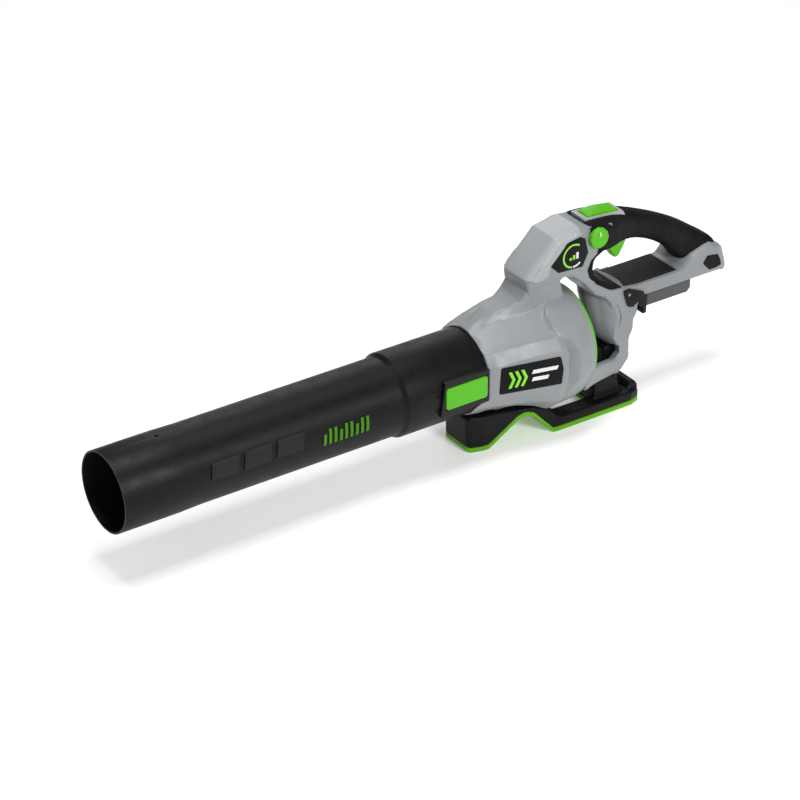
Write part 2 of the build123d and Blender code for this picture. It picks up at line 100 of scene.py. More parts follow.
class Nodes:
    """A short way to add and join shader nodes."""

    def __init__(self, name):
        self.material = bpy.data.materials.new(name)
        self.material.use_nodes = True
        self.tree = self.material.node_tree
        self.shader = self.tree.nodes["Principled BSDF"]
        self.place = self.add("ShaderNodeTexCoord").outputs["Object"]

    def add(self, kind, **values):
        node = self.tree.nodes.new(kind)
        for key, value in values.items():
            if hasattr(node, key):
                setattr(node, key, value)
            else:
                node.inputs[key.replace("_", " ")].default_value = value
        return node

    def join(self, out, into):
        self.tree.links.new(out, into)

    def noise(self, scale, detail=3.0, rough=0.5):
        node = self.add("ShaderNodeTexNoise", Scale=scale, Detail=detail, Roughness=rough)
        self.join(self.place, node.inputs["Vector"])
        return node.outputs["Fac"]

    def ramp(self, source, low, high, start=0.35, end=0.65):
        node = self.add("ShaderNodeMapRange")
        self.join(source, node.inputs["Value"])
        for key, value in zip(("From Min", "From Max", "To Min", "To Max"), (start, end, low, high)):
            node.inputs[key].default_value = value
        return node.outputs["Result"]

    def mix(self, factor, first, second):
        node = self.add("ShaderNodeMix", data_type="RGBA")
        self.join(factor, node.inputs["Factor"])
        for socket, value in ((node.inputs[6], first), (node.inputs[7], second)):
            if isinstance(value, tuple):
                socket.default_value = value
            else:
                self.join(value, socket)
        return node.outputs[2]

    def bump(self, height, distance, strength=1.0):
        node = self.add("ShaderNodeBump", Strength=strength, Distance=distance)
        self.join(height, node.inputs["Height"])
        return node.outputs["Normal"]


def moulded(name, colour, rough=0.45, grain=1400.0, depth=0.00004, edge_highlight=0.12, coat=0.0, specular=0.5,
            cloud=0.10):
    """Moulded plastic: fine spark-eroded grain, faint flow clouding and a painted highlight that lightens
    convex edges.
    """
    n = Nodes(name)
    base = linear(colour)
    darker = tuple(c * (1 - cloud) for c in base[:3]) + (1.0,)
    # Painted highlight colour: the base pulled towards pale grey, used on convex edges.
    highlighted = tuple(c + (0.9 - c) * edge_highlight for c in base[:3]) + (1.0,)
    clouded = n.mix(n.ramp(n.noise(14.0, 4.0), 0.0, 1.0), base, darker)
    geometry = n.add("ShaderNodeNewGeometry")
    # Painted highlight: Pointiness picks out convex edges, which are mixed towards the paler colour.
    edge = n.ramp(geometry.outputs["Pointiness"], 0.0, 1.0, 0.53, 0.62)
    n.join(n.mix(edge, clouded, highlighted), n.shader.inputs["Base Color"])
    fine = n.noise(grain, 2.0, 0.6)
    n.join(n.ramp(n.noise(60.0, 4.0), rough - 0.05, rough + 0.07, 0.3, 0.7), n.shader.inputs["Roughness"])
    n.join(n.bump(fine, depth), n.shader.inputs["Normal"])
    n.shader.inputs["Specular IOR Level"].default_value = specular
    n.shader.inputs["Coat Weight"].default_value = coat
    return n.material


def metal(name, colour, rough=0.3, brushed=900.0):
    """Turned metal with fine scratches round its axis."""
    n = Nodes(name)
    stretch = n.add("ShaderNodeMapping")
    stretch.inputs["Scale"].default_value = (1.0, 12.0, 1.0)
    n.join(n.place, stretch.inputs["Vector"])
    lines = n.add("ShaderNodeTexNoise", Scale=brushed, Detail=2.0)
    n.join(stretch.outputs["Vector"], lines.inputs["Vector"])
    base = linear(colour)
    darker = tuple(c * 0.7 for c in base[:3]) + (1.0,)
    n.join(n.mix(n.ramp(n.noise(80.0), 0.0, 1.0), base, darker), n.shader.inputs["Base Color"])
    n.join(n.ramp(lines.outputs["Fac"], rough, rough + 0.2), n.shader.inputs["Roughness"])
    n.join(n.bump(lines.outputs["Fac"], 0.00002), n.shader.inputs["Normal"])
    n.shader.inputs["Metallic"].default_value = 1.0
    return n.material


def rubber(name, colour):
    """Soft grip skin with a pebbled grain."""
    n = Nodes(name)
    pebbles = n.add("ShaderNodeTexVoronoi", Scale=620.0, feature="SMOOTH_F1")
    n.join(n.place, pebbles.inputs["Vector"])
    base = linear(colour)
    paler = tuple(c * 1.5 + 0.004 for c in base[:3]) + (1.0,)
    n.join(n.mix(n.ramp(n.noise(25.0, 4.0), 0.0, 1.0), base, paler), n.shader.inputs["Base Color"])
    n.join(n.ramp(n.noise(90.0), 0.5, 0.68), n.shader.inputs["Roughness"])
    n.join(n.bump(pebbles.outputs["Distance"], 0.00012, 0.8), n.shader.inputs["Normal"])
    n.shader.inputs["Specular IOR Level"].default_value = 0.1
    return n.material


MATERIALS = {
    "shell_grey": moulded("shell_grey", (128, 131, 134), 0.42, 1500.0, 0.00004, 0.05),
    "shield_grey": moulded("shield_grey", (150, 153, 155), 0.38, 1700.0, 0.00003, 0.04),
    "tube_black": moulded("tube_black", (14, 13, 14), 0.42, 1100.0, 0.00005, 0.01, specular=0.15),
    "inner_black": moulded("inner_black", (9, 9, 10), 0.55, 1000.0, 0.00005, 0.01, specular=0.15),
    "skid_black": moulded("skid_black", (13, 13, 14), 0.42, 1200.0, 0.00005, 0.01, specular=0.14),
    "rail_dark": moulded("rail_dark", (23, 21, 21), 0.5, 1200.0, 0.00006, 0.02, specular=0.12),
    "guide_grey": moulded("guide_grey", (66, 67, 68), 0.45, 1300.0, 0.00005, 0.03, specular=0.3),
    "grip_rubber": rubber("grip_rubber", (11, 10, 11)),
    "lime_green": moulded("lime_green", (76, 168, 0), 0.36, 1500.0, 0.00003, 0.02, specular=0.3),
    "sole_green": moulded("sole_green", (88, 158, 0), 0.5, 1000.0, 0.00006, 0.02, specular=0.3),
    "label_gloss": moulded("label_gloss", (5, 6, 7), 0.25, 300.0, 0.000004, 0.0, specular=0.12),
    "print_pale": moulded("print_pale", (205, 208, 208), 0.35, 800.0, 0.00001, 0.0),
    "print_lime": moulded("print_lime", (120, 200, 20), 0.35, 800.0, 0.00001, 0.0),
    "tube_lime": moulded("tube_lime", (62, 118, 8), 0.45, 900.0, 0.00001, 0.0, specular=0.15),
    "steel": metal("steel", (150, 150, 152), 0.28),
    "magnet": metal("magnet", (88, 86, 84), 0.4),
    "copper_core": metal("copper_core", (170, 92, 52), 0.35),
    "alloy": metal("alloy", (168, 170, 172), 0.38),
    "brass": metal("brass", (188, 150, 72), 0.3),
    "board_green": moulded("board_green", (18, 78, 42), 0.35, 500.0, 0.00003, 0.0, 0.3),
    "switch_black": moulded("switch_black", (10, 10, 11), 0.4, 900.0, 0.00003, 0.01, specular=0.15),
}


# ---------------------------------------------------------------- mesh helpers

def new_object(name, points, faces):
    mesh = bpy.data.meshes.new(name)
    mesh.from_pydata([tuple(at(*p)) for p in points], [], faces)
    obj = bpy.data.objects.new(name, mesh)
    bpy.context.scene.collection.objects.link(obj)
    tidy_mesh(obj)
    return obj


def tidy_mesh(obj, merge=0.002):
    """Merges repeated points and turns every face outwards."""
    bm = bmesh.new()
    bm.from_mesh(obj.data)
    bmesh.ops.remove_doubles(bm, verts=bm.verts, dist=merge * MM)
    bmesh.ops.recalc_face_normals(bm, faces=bm.faces)
    bm.to_mesh(obj.data)
    bm.free()


def bake(obj):
    """Applies the modifiers."""
    bpy.context.view_layer.update()
    graph = bpy.context.evaluated_depsgraph_get()
    mesh = bpy.data.meshes.new_from_object(obj.evaluated_get(graph))
    obj.modifiers.clear()
    obj.data = mesh


def combine(obj, others, operation):
    """Joins or cuts an object with others, which are used up."""
    for other in others:
        step = obj.modifiers.new(operation.lower(), "BOOLEAN")
        step.operation = operation
        step.object = other
        step.solver = "EXACT"
        bake(obj)
        bpy.data.objects.remove(other)
    return obj


def melt(obj, voxel=1.1, rounds=6):
    """Rebuilds a joined shape as one even skin with softened creases."""
    step = obj.modifiers.new("skin", "REMESH")
    step.mode = "VOXEL"
    step.voxel_size = voxel * MM
    soft = obj.modifiers.new("soft", "SMOOTH")
    soft.factor = 0.5
    soft.iterations = rounds
    bake(obj)
    return obj


def merged(objects):
    """Several closed meshes as one object."""
    first = objects[0]
    bm = bmesh.new()
    for obj in objects:
        bm.from_mesh(obj.data)
    bm.to_mesh(first.data)
    bm.free()
    for obj in objects[1:]:
        bpy.data.objects.remove(obj)
    return first


def keep_side(obj, x):
    """Cuts an object at a plane of constant x and keeps the +x side, closed."""
    bm = bmesh.new()
    bm.from_mesh(obj.data)
    cut = bmesh.ops.bisect_plane(bm, geom=bm.verts[:] + bm.edges[:] + bm.faces[:], dist=1e-7,
                                 plane_co=(x * MM, 0, 0), plane_no=(1, 0, 0), clear_inner=True)
    edges = [g for g in cut["geom_cut"] if isinstance(g, bmesh.types.BMEdge)]
    bmesh.ops.holes_fill(bm, edges=edges, sides=0)
    bmesh.ops.recalc_face_normals(bm, faces=bm.faces)
    bm.to_mesh(obj.data)
    bm.free()
    return obj


def mirrored(obj, name):
    """The same piece on the other side of the middle plane."""
    twin = bpy.data.objects.new(name, obj.data.copy())
    bpy.context.scene.collection.objects.link(twin)
    twin.data.transform(Matrix.Diagonal((-1, 1, 1, 1)))
    twin.data.flip_normals()
    return twin


def settle(obj, body, material, *nodes, crease=35.0):
    """Gives a finished piece its shading, material and body, and hides the CAD nodes that it stands for."""
    mesh = obj.data
    for polygon in mesh.polygons:
        polygon.use_smooth = True
    mesh.set_sharp_from_angle(angle=math.radians(crease))
    mesh.materials.clear()
    mesh.materials.append(MATERIALS[material])
    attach(obj, body)
    if nodes:
        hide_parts(*nodes)
    return obj


def rounded(points, radius, steps=5):
    """An outline with each corner replaced by a smooth curve."""
    loop = []
    count = len(points)
    for index, point in enumerate(points):
        before = Vector(points[index - 1])
        corner = Vector(point)
        after = Vector(points[(index + 1) % count])
        into, out = before - corner, after - corner
        half = max(into.angle(out) / 2, 0.05)
        reach = min(radius / math.tan(half), into.length * 0.48, out.length * 0.48)
        if reach < 0.02:
            loop.append(corner)
            continue
        start = corner + into.normalized() * reach
        end = corner + out.normalized() * reach
        for step in range(steps + 1):
            t = step / steps
            loop.append(start * (1 - t) ** 2 + corner * 2 * t * (1 - t) + end * t * t)
    return loop


def drawn_in(loop, distance):
    """An outline moved inwards along its corners; distance is one number or one for each point."""
    count = len(loop)
    area = sum(loop[i - 1].x * loop[i].y - loop[i].x * loop[i - 1].y for i in range(count))
    turn = 1 if area > 0 else -1
    moved = []
    for i in range(count):
        before = (loop[i] - loop[i - 1]).normalized()
        after = (loop[(i + 1) % count] - loop[i]).normalized()
        side_before = Vector((-before.y, before.x))
        side_after = Vector((-after.y, after.x))
        normal = side_before + side_after
        normal = normal.normalized() if normal.length > 1e-6 else side_after
        stretch = 1 / max(0.6, normal.dot(side_after))
        amount = distance[i] if isinstance(distance, list) else distance
        moved.append(loop[i] + normal * amount * stretch * turn)
    return moved


def prism(name, points, x_low, x_high, corner=2.0, rim=1.0, low_rim=None, steps=4, weight=None):
    """A side outline given thickness in x, with rounded corners and rolled rims.
    weight(y, z) scales the rim round the outline."""
    loop = rounded(points, corner)
    low_rim = rim if low_rim is None else low_rim
    share = [weight(p.x, p.y) if weight else 1.0 for p in loop]
    levels = []
    for k in range(steps + 1 if low_rim else 1):
        t = math.radians(90 * k / steps) if low_rim else 0
        inward = low_rim * (1 - math.sin(t)) if low_rim else 0
        levels.append((x_low, 1, low_rim * (1 - math.cos(t)), inward))
    for k in range(steps, -1, -1) if rim else [0]:
        t = math.radians(90 * k / steps) if rim else 0
        inward = rim * (1 - math.sin(t)) if rim else 0
        levels.append((x_high, -1, rim * (1 - math.cos(t)), inward))
    verts = []
    for x, way, step_in, inward in levels:
        ring = drawn_in(loop, [inward * s for s in share])
        verts += [(x + way * step_in * s, p.x, p.y) for p, s in zip(ring, share)]
    count = len(loop)
    faces = [list(range(count)), list(range(len(verts) - count, len(verts)))]
    for level in range(len(levels) - 1):
        base = level * count
        for i in range(count):
            j = (i + 1) % count
            faces.append([base + i, base + j, base + count + j, base + count + i])
    return new_object(name, verts, faces)


def box_piece(name, x, y, z, corner=1.0, rim=1.0):
    """A rounded block between two values in each direction."""
    outline = [(y[0], z[0]), (y[1], z[0]), (y[1], z[1]), (y[0], z[1])]
    return prism(name, outline, x[0], x[1], corner, rim)


def skin_of(rings, name):
    """A tube-like mesh through rings of equal size, capped at both ends."""
    count = len(rings[0])
    verts = [p for ring in rings for p in ring]
    faces = []
    for level in range(len(rings) - 1):
        base = level * count
        for i in range(count):
            j = (i + 1) % count
            faces.append([base + i, base + j, base + count + j, base + count + i])
    faces += [list(range(count)), list(range(len(verts) - count, len(verts)))]
    return new_object(name, verts, faces)


def cross_rod(name, profile, centre, sides=32):
    """A profile of (radius, x) turned round an x axis at centre, given as (y, z)."""
    rings = []
    for k in range(sides):
        angle = 2 * math.pi * k / sides
        ring = []
        for radius, x in profile:
            ring.append((x, radius * math.cos(angle) + centre[0], radius * math.sin(angle) + centre[1]))
        rings.append(ring)
    count = len(profile)
    verts = [p for ring in rings for p in ring]
    faces = []
    for k in range(sides):
        here, there = k * count, ((k + 1) % sides) * count
        for i in range(count):
            j = (i + 1) % count
            faces.append([here + i, here + j, there + j, there + i])
    return new_object(name, verts, faces)


ROLL_STEPS = 2
ROLLED_ANGLE = math.radians(28.0)
FLAT_ANGLE = math.radians(1.5)


def refined(node, material, width):
    """A copy of a CAD node with edges rolled by a width in millimetres, shown in its place."""
    source = frame["nodes"][node]
    obj = bpy.data.objects.new(node + "_moulded", source.data.copy())
    bpy.context.scene.collection.objects.link(obj)
    bm = bmesh.new()
    bm.from_mesh(obj.data)
    bmesh.ops.remove_doubles(bm, verts=bm.verts, dist=1e-6)
    bmesh.ops.dissolve_limit(bm, angle_limit=FLAT_ANGLE, verts=bm.verts, edges=bm.edges)
    edges = [e for e in bm.edges if len(e.link_faces) == 2 and e.calc_face_angle(0) > ROLLED_ANGLE]
    if width and edges:
        bmesh.ops.bevel(bm, geom=edges, offset=width * MM, segments=ROLL_STEPS, profile=0.6,
                        affect="EDGES", clamp_overlap=True, harden_normals=False)
    bmesh.ops.recalc_face_normals(bm, faces=bm.faces)
    bm.to_mesh(obj.data)
    bm.free()
    return settle(obj, source["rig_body"], material, node)


# ---------------------------------------------------------------- fan housing

BOWL = [(54.6, 480), (54.6, 497), (59, 507), (63.5, 522), (68.5, 540), (73, 560), (76.5, 580), (78, 600),
        (77.4, 620), (74.6, 634), (70.5, 643)]
UNDERSIDE = [(480, 54.6), (520, 58.5), (550, 61.5), (570, 64.5), (590, 72), (606, 78), (660, 78)]
PAD_START, PAD_SLOPE = 57.2, 0.194


def pad_x(y):
    """Distance of the flat label pad from the middle plane."""
    return PAD_START + (y - 507) * PAD_SLOPE


# Half sections from top to bottom: spine top and shoulder, foot of the spine, foot of the long facet,
# step edge, upper and lower ends of the label pad, bottom bevel and belly.
SECTIONS = {
    484: [(0, 54.8), (10, 53.9), (20, 51), (40, 37.5), (42, 35.3), (50, 22.5), (52.8, -15), (44, -33),
          (28, -47), (0, -54.8)],
    497: [(0, 55.6), (4, 55.5), (9, 55), (41.5, 38.4), (43.2, 37.2), (52.5, 22), (55, -14),
          (46.5, -33), (30, -48), (0, -55.4)],
    507: [(0, 60.2), (6, 60), (10.5, 57.6), (42.6, 40.6), (45.4, 40), (pad_x(507), 24),
          (pad_x(507), -14), (49, -33), (31, -47.5), (0, -55.5)],
    530: [(0, 69.8), (13, 69.4), (17.5, 61.5), (48.5, 42.2), (51.5, 42), (pad_x(530), 26.5),
          (pad_x(530), -16), (53, -36), (33, -50), (0, -56)],
    550: [(0, 75.2), (17.5, 74.4), (22.5, 63.5), (53, 43.4), (56, 43.4), (pad_x(550), 27.5),
          (pad_x(550), -17), (56, -38), (35, -52.5), (0, -58)],
    564: [(0, 81), (22, 80), (26, 65.5), (56.5, 44), (59.4, 44), (pad_x(564), 28), (pad_x(564), -18),
          (59.5, -40), (37.5, -56), (0, -61)],
    574: [(0, 95), (23, 92), (27.5, 67), (58.5, 44.5), (61, 44.4), (pad_x(574), 28),
          (pad_x(574), -19), (62, -42), (39, -59), (0, -65)],
    590: [(0, 100), (26, 98), (29, 70), (61.5, 44.8), (63.4, 44), (pad_x(590), 27), (pad_x(590), -19),
          (67, -45), (44, -66), (0, -72)],
    598: [(0, 100), (26, 98), (29.5, 70), (60, 43), (62, 41), (pad_x(598), 24), (pad_x(598), -17),
          (66, -44), (44, -66), (0, -74)],
    606: [(0, 100), (26, 98), (29.5, 69), (56, 40), (58, 38), (70.5, 19), (70.5, -13), (62, -40),
          (42, -63), (0, -74)],
    612: [(0, 100), (26, 98), (29.5, 68), (50, 36), (52, 34), (62, 16), (62, -12), (54, -36),
          (38, -56), (0, -74)],
    620: [(0, 98), (26, 95), (29.5, 66), (50, 36), (52, 34), (58, 16), (58, -12), (54, -36),
          (38, -56), (0, -70)],
    628: [(0, 76), (26, 72), (29.5, 60), (50, 36), (52, 34), (58, 16), (58, -12), (54, -36),
          (38, -56), (0, -67)],
    643: [(0, 60), (25, 56), (28, 50), (48, 34), (50, 32), (55, 16), (55, -12), (50, -34), (36, -52),
          (0, -60)],
}
# Where the bowl starts to rise out of the flank, as (angle above the horizontal, y).
BOWL_FRONT = [(-90, 592), (-35, 592), (-24, 597), (-14, 606), (16, 607), (27, 598), (34, 585), (43, 579),
              (55, 579), (68, 586), (76, 592), (90, 596)]
BOWL_RISE, BOWL_LEAD = 0.95, 9
# The rear lip takes over from the flank here, except under the belly.
LIP_START, LIP_LENGTH, BELLY_ANGLE = 634, 9, -66
LEAST_RADIUS = 54.4


def section_reach(points, angles):
    """Distance from the air axis to a half section along each angle."""
    reach = np.zeros(len(angles))
    directions = np.stack([np.cos(angles), np.sin(angles)], 1)
    for (x0, z0), (x1, z1) in zip(points, points[1:]):
        edge = np.array([x1 - x0, z1 - z0])
        start = np.array([x0, z0])
        cross = directions[:, 0] * edge[1] - directions[:, 1] * edge[0]
        cross = np.where(np.abs(cross) < 1e-9, 1e-9, cross)
        distance = (start[0] * edge[1] - start[1] * edge[0]) / cross
        along = (start[0] * directions[:, 1] - start[1] * directions[:, 0]) / cross
        hit = (along > -1e-6) & (along < 1 + 1e-6) & (distance > 0)
        reach = np.where(hit, np.maximum(reach, distance), reach)
    return reach


def blurred(values, radius, axis):
    """A running average that keeps the end rows."""
    kernel = np.hanning(2 * radius + 3)[1:-1]
    kernel /= kernel.sum()
    padding = [(0, 0), (0, 0)]
    padding[axis] = (radius, radius)
    padded = np.pad(values, padding, mode="edge")
    return np.apply_along_axis(lambda row: np.convolve(row, kernel, mode="valid"), axis, padded)


def smooth_max(a, b, width):
    """The larger of two, with the crossing rounded over a width."""
    return (a + b + np.sqrt((a - b) ** 2 + width ** 2)) / 2


def housing_reach(angles, ys):
    """Outer radius of the housing for each y (rows) and angle (columns)."""
    stations = sorted(SECTIONS)
    table = np.array([section_reach(SECTIONS[s], angles) for s in stations])
    flank = np.array([[np.interp(y, stations, table[:, j]) for j in range(len(angles))] for y in ys])
    flank = blurred(blurred(flank, 2, 0), 1, 1)
    bowl_r = [r for r, _ in BOWL]
    bowl_y = [y for _, y in BOWL]
    degrees = np.degrees(angles)
    front = np.interp(degrees, [a for a, _ in BOWL_FRONT], [y for _, y in BOWL_FRONT])
    rows = []
    for y in ys:
        short = np.maximum(0, front + BOWL_LEAD - y)
        rows.append(np.interp(y, bowl_y, bowl_r) - short * BOWL_RISE)
    bowl = np.array(rows)
    outer = smooth_max(flank, bowl, 1.6)
    floor_z = np.interp(ys, [y for y, _ in UNDERSIDE], [z for _, z in UNDERSIDE])
    sines = np.maximum(-np.sin(angles), 1e-3)
    limit = floor_z[:, None] / sines[None, :]
    outer = -smooth_max(-outer, -limit, 1.0)
    rear = np.clip((np.array(ys) - LIP_START) / LIP_LENGTH, 0, 1)[:, None]
    lip = np.interp(ys, bowl_y, bowl_r)[:, None]
    above_belly = (degrees > BELLY_ANGLE)[None, :]
    outer = np.where(above_belly, outer * (1 - rear) + lip * rear, outer)
    return np.maximum(outer, LEAST_RADIUS)


COLLAR_EDGE = [(-90, 490), (-66, 484), (-36, 482), (-26, 489), (-20, 497), (90, 497)]
HOUSING_ROWS, HOUSING_WALL = 118, 3


def housing_half(name):
    """The left half of the housing as a closed shell: outer skin, rear lip, inner skin and collar edge."""
    angles = np.radians(np.linspace(-90, 90, 241))
    ys = np.linspace(482, HOUSING_REAR, 130)
    outer = housing_reach(angles, ys)
    degrees = np.degrees(angles)
    edge = np.interp(degrees, [a for a, _ in COLLAR_EDGE], [y for _, y in COLLAR_EDGE])
    rings = []
    for j, angle in enumerate(angles):
        column = np.linspace(edge[j], HOUSING_REAR, HOUSING_ROWS)
        radii = np.interp(column, ys, outer[:, j])
        radii = np.minimum(radii, 99)
        profile = [(radii[0] - 0.8, column[0])]
        profile += [(r, y) for r, y in zip(radii, column + np.linspace(0.7, 0, HOUSING_ROWS))]
        lip = min(radii[-1], 70.5)
        profile += [(lip - 0.9, HOUSING_REAR), (67.5, HOUSING_REAR - 0.1)]
        inner_y = np.linspace(HOUSING_REAR - 4, 526, 40)
        inner_r = np.minimum(np.interp(inner_y, ys, outer[:, j]) - HOUSING_WALL, 74.5)
        profile += [(max(60.5, r), y) for r, y in zip(inner_r, inner_y)]
        profile += [(53.1, 524), (53.1, column[0] + 0.2)]
        across, up = math.cos(angle), math.sin(angle)
        rings.append([(max(r * across, 0.08), y, r * up) for r, y in profile])
    return skin_of(rings, name)


# ---------------------------------------------------------------- handle frame, shield and grip

STEM = [(578, 60), (571, 104), (614, 147), (650, 155), (702, 149), (690, 120), (668, 106), (663, 95),
        (666, 84), (675, 73), (694, 60), (718, 52), (718, 29), (697, 42), (671, 58), (656, 77), (640, 91),
        (626, 95), (614, 84)]
STEM_STRIP = [(690, 117), (675, 111), (670.5, 104), (669, 95), (671.5, 85.5), (679, 77), (697, 65.5),
              (716, 55.6), (716, 50), (694, 58), (673, 72), (664, 83), (661, 95), (666, 107), (684, 121)]
# The flank widens from the stem to the yoke between these heights.
FLARE_TOP, FLARE_FOOT = 90.0, 56.0
FLARE_REAR, FLARE_FADE, FLARE_FROM = 740, 22, 18
# The yoke's outline on the middle plane and on its flanks, point for point.
YOKE_MIDDLE = [(669, 74), (671, 50), (679, 20), (685, 4), (691, -10), (703, -24), (722, -22), (732, -6),
               (733, 7), (739, 15), (742, 40), (742, 53), (690, 60)]
YOKE_FLANK = [(690, 50), (714, 29), (718, 14), (712, 2), (706, -8), (711, -23), (724, -22), (733, -6),
              (733, 7), (739, 15), (742, 40), (742, 53), (700, 56)]
LEG = [(702, 2), (705, -7), (711, -23), (712, -33), (700, -44), (700, -66), (716, -57), (727, -44),
       (726, -12), (733, -5), (728, 4)]
RAIL = [(697, 34), (868, 34), (886, 31), (890, 40), (883, 57), (872, 67), (853, 76), (843, 75), (824, 68),
        (808, 53), (697, 53)]
RAIL_REAR, RAIL_ROUNDING = 889.5, 23.0
# The rear end leans forward with height, measured from this height.
RAIL_MIDDLE, RAIL_LEAN = 48, 0.3


def rail_end(x):
    """How far back the rail reaches at a distance from the middle plane."""
    return RAIL_REAR - RAIL_ROUNDING * min(1.0, abs(x) / RAIL_SIDE) ** 2


def rail():
    """The rail and the block at its rear, whose end is round in plan."""
    loop = rounded(RAIL, 4)
    rings = []
    for x, inward in ((-4, 0), (0, 0), (7, 0), (12, 0), (16, 0), (20, 0), (23, 0), (25, 0), (26.3, 0.5),
                      (27.6, 1.3), (28.6, 2.5), (RAIL_SIDE, 4)):
        ring = drawn_in(loop, inward)
        end = rail_end(x) - inward * 0.5
        rings.append([(x, min(p.x, end + (RAIL_MIDDLE - p.y) * RAIL_LEAN), p.y) for p in ring])
    return skin_of(rings, "rail")


def yoke():
    """The block behind the inlet, whose front face sweeps back from the middle to the flanks."""
    middle = rounded(YOKE_MIDDLE, 4)
    flank = rounded(YOKE_FLANK, 4)
    rings = []
    for x, inward in ((-4, 0), (3, 0), (8, 0), (13, 0), (17, 0), (21, 0), (24, 0), (26.5, 0.4), (28.6, 1.5),
                      (YOKE_SIDE, 3.5)):
        share = (max(x, 0) / YOKE_SIDE) ** 2.4
        loop = [a.lerp(b, share) for a, b in zip(middle, flank)]
        rings.append([(x, p.x, p.y) for p in drawn_in(loop, inward)])
    return skin_of(rings, "yoke")


def flared(obj):
    """Widens the foot of the stem so that its flank runs smoothly into the yoke."""
    for vertex in obj.data.vertices:
        x = vertex.co.x / MM
        height = (vertex.co.z - AXIS_Z) / MM
        share = min(1.0, max(0.0, (FLARE_TOP - height) / (FLARE_TOP - FLARE_FOOT)))
        share = share * share * (3 - 2 * share)
        share *= min(1.0, max(0.0, (FLARE_REAR - (vertex.co.y - NOZZLE_Y) / MM) / FLARE_FADE))
        if x > FLARE_FROM:
            widening = (YOKE_SIDE - FRAME_SIDE) * (x - FLARE_FROM) / (FRAME_SIDE - FLARE_FROM)
            wider = x + widening * share
            vertex.co.x = max(x, min(wider, YOKE_SIDE)) * MM
    return obj


# Middle (y, x, z), width and height of the arm's sections, rear to front.
STRUT = [(712, 23, -51, 13, 21), (700, 29, -49, 12, 22), (686, 37, -44, 11, 23),
         (668, 46, -38.5, 10.5, 24), (652, 53, -35, 10.5, 25), (634, 60, -33, 11, 28)]


def strut():
    """The left lower arm, from the foot of the yoke out to the housing's rear edge."""
    rings = []
    for y, x, z, wide, tall in STRUT:
        ring = []
        for k in range(16):
            a = 2 * math.pi * k / 16
            c, s = math.cos(a), math.sin(a)
            square = (abs(c) ** 4 + abs(s) ** 4) ** (-1 / 4)
            ring.append((x + wide / 2 * c * square, y, z + tall / 2 * s * square))
        rings.append(ring)
    return skin_of(rings, "strut")


def frame_half():
    """The left half of the stem, yoke, rail and arm as one hollow moulding."""
    stem = prism("stem", STEM, -4, FRAME_SIDE, 6, 5, 0)
    leg = prism("leg", LEG, 18.5, 29.5, 4, 3)
    half = flared(melt(merged([stem, yoke(), leg, rail(), strut()]), 1.15, 5))
    stem_space = [(586, 66), (576, 102), (616, 145), (650, 153), (692, 147), (686, 112), (672, 104),
                  (668, 84), (650, 82), (640, 72)]
    yoke_space = [(699.3, 46), (699.3, -6), (708, -16), (718, -16), (727, 8), (734, 20), (736, 46)]
    rail_space = [(736, 20), (846, 20), (846, 62), (840, 62), (812, 48), (736, 49)]
    hollow = [prism("stem_space", stem_space, -9, FRAME_SIDE - 3.5, 2, 1),
              prism("yoke_space", yoke_space, -9, 18.6, 1, 0.5),
              prism("rail_space", rail_space, -9, RAIL_SIDE - 4, 2, 1)]
    openings = [box_piece("trigger_slot", (-9, 7.9), (699, 742), (92, 135), 0.5, 0.3),
                box_piece("turbo_slot", (-9, 11), (668, 722), (138, 170), 0.5, 0.3),
                box_piece("ejector_hole", (-9, 6.6), (720, 752), (-6.6, 6.6), 2, 0.3),
                box_piece("terminal_hole", (-9, 14.4), (728, 756), (23, 35), 0.5, 0.3),
                prism("grip_seat", [(654, 162), (678, 110), (702, 109), (712, 160)], 24.3, 60, 1, 0)]
    combine(half, hollow + openings, "DIFFERENCE")
    return keep_side(half, 0.08)


SHIELD = [(567, 104), (613, 150.5), (650, 157.5), (653, 149), (628, 143), (605, 119), (601, 103), (583, 101)]


def shield():
    """The pale cap over the stem's front, with a broad roll along its front and top only."""
    def front(y, z):
        return 1.0 if z > 149.5 or z - y > -474 else 0.16

    skin = melt(prism("stem_shield_moulded", SHIELD, -28.5, 28.5, 5, 11, 11, 6, front), 0.9, 6)
    stem = [(584, 60), (576.5, 103), (617, 143.5), (651, 151.5), (720, 144), (720, 60)]
    core = prism("core", stem, -25.4, 25.4, 4, 1.5)
    return combine(skin, [core], "DIFFERENCE")


# Top point, bottom point, half width and squareness of the grip's sections, front to rear.
GRIP = [
    ((655, 156.0), (677, 112), 26.3, 7),
    ((668, 156), (684, 111), 26.3, 7),
    ((684, 155.2), (694, 110), 26.2, 6),
    ((700, 154.5), (704, 109.5), 24.5, 5),
    ((716, 152), (716, 110), 20.5, 4),
    ((734, 148), (729, 110), 17.8, 3),
    ((756, 139.8), (748, 106.5), 16.8, 2.6),
    ((779, 130), (769, 97.5), 16.5, 2.5),
    ((801, 119), (786, 87.5), 16.8, 2.5),
    ((822, 107), (799, 77), 17.3, 2.6),
    ((841, 93), (808, 66), 19, 2.8),
    ((855, 83.5), (815, 57), 22.5, 3.4),
    ((864, 77), (826, 50), 24, 4),
    ((869, 72), (838, 48), 24.5, 4.5),
]


